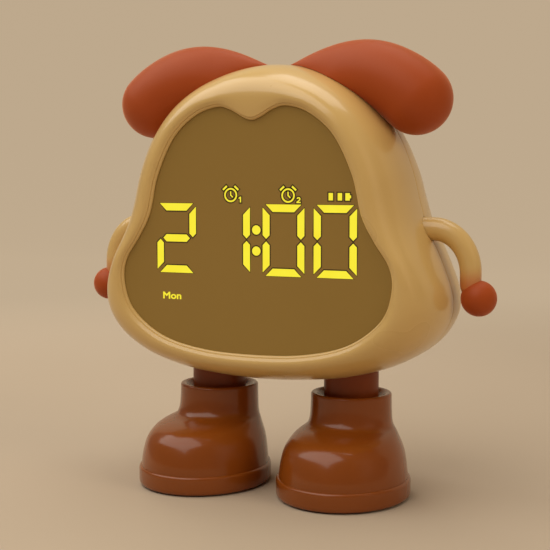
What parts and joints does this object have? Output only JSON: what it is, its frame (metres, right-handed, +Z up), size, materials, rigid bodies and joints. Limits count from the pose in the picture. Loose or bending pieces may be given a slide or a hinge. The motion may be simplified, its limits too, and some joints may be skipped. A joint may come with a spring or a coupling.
{
  "type": "kids alarm clock",
  "caption": "Puppy-shaped table alarm clock with a lit number display and night light behind its face, soft ears, posable arms, boots and push buttons on its back.",
  "frame": {"origin": "on the surface the clock stands on, under the middle of its bounding box", "axes": "+Z up, -Y the way the display faces, +X to the right seen from the front"},
  "size_m": [0.1572, 0.0639, 0.1592],
  "materials": {
    "cream_shell": "gloss",
    "smoked_lens": "satin",
    "lit_display": "glowing",
    "white_plastic": "matt",
    "night_led": "gloss",
    "circuit_board": "satin",
    "screw_steel": "zinc plated",
    "battery_foil": "satin",
    "red_wire": "satin",
    "black_plastic": "matt",
    "socket_steel": "satin",
    "ribbon_film": "satin",
    "black_foam": "matt",
    "cone_paper": "matt",
    "magnet_iron": "satin",
    "black_wire": "satin",
    "boot_brown": "gloss",
    "ear_rubber": "matt",
    "leg_brown": "satin"
  },
  "bodies": {
    "clock": {"front_shell": "cream_shell", "rear_shell": "cream_shell", "face_lens": "smoked_lens", "lit_marks": "lit_display", "diffuser_film": "white_plastic", "digit_reflector": "white_plastic", "display_board": "circuit_board", "display_leds": "lit_display", "night_light_leds": "night_led", "display_screws": "screw_steel", "battery_tape": "white_plastic", "battery_pouch": "battery_foil", "battery_lead": "red_wire", "main_board": "circuit_board", "board_chips": "black_plastic", "board_connectors": "white_plastic", "switch_bodies": "black_plastic", "tap_sensor": "socket_steel", "usb_socket": "socket_steel", "ribbon_cable": "ribbon_film", "board_screws": "screw_steel", "speaker_gasket": "black_foam", "speaker_frame": "socket_steel", "speaker_cone": "cone_paper", "speaker_magnet": "magnet_iron", "speaker_lead": "black_wire", "case_screws": "screw_steel", "ear_left": "ear_rubber", "ear_right": "ear_rubber", "shoulder_washers": "black_foam", "leg_left": "leg_brown", "leg_right": "leg_brown", "boot_left": "boot_brown", "boot_right": "boot_brown", "sole_left": "boot_brown", "sole_right": "boot_brown", "foot_pad_left": "black_foam", "foot_pad_right": "black_foam", "leg_screws": "screw_steel"},
    "button_light": {"button_light": "boot_brown"},
    "button_set": {"button_set": "boot_brown"},
    "button_down": {"button_down": "boot_brown"},
    "button_up": {"button_up": "boot_brown"},
    "button_alarm": {"button_alarm": "boot_brown"},
    "arm_left": {"arm_left": "cream_shell", "hand_left": "ear_rubber"},
    "arm_right": {"arm_right": "cream_shell", "hand_right": "ear_rubber"}
  },
  "joints": [
    {"name": "button_light_press", "type": "slide", "parent": "clock", "child": "button_light", "axis": [0, -1, 0], "range_m": [0, 0.0006], "stiffness_N_per_m": 1000},
    {"name": "button_set_press", "type": "slide", "parent": "clock", "child": "button_set", "axis": [0, -1, 0], "range_m": [0, 0.0006], "stiffness_N_per_m": 1000},
    {"name": "button_down_press", "type": "slide", "parent": "clock", "child": "button_down", "axis": [0, -1, 0], "range_m": [0, 0.0006], "stiffness_N_per_m": 1000},
    {"name": "button_up_press", "type": "slide", "parent": "clock", "child": "button_up", "axis": [0, -1, 0], "range_m": [0, 0.0006], "stiffness_N_per_m": 1000},
    {"name": "button_alarm_press", "type": "slide", "parent": "clock", "child": "button_alarm", "axis": [0, -1, 0], "range_m": [0, 0.0006], "stiffness_N_per_m": 1000},
    {"name": "arm_left_swing", "type": "hinge", "parent": "clock", "child": "arm_left", "pos_m": [-0.0545, 0.00347, 0.094], "axis": [-1, 0, 0], "range_deg": [-60, 150]},
    {"name": "arm_right_swing", "type": "hinge", "parent": "clock", "child": "arm_right", "pos_m": [0.0545, 0.00347, 0.094], "axis": [-1, 0, 0], "range_deg": [-60, 150]}
  ]
}
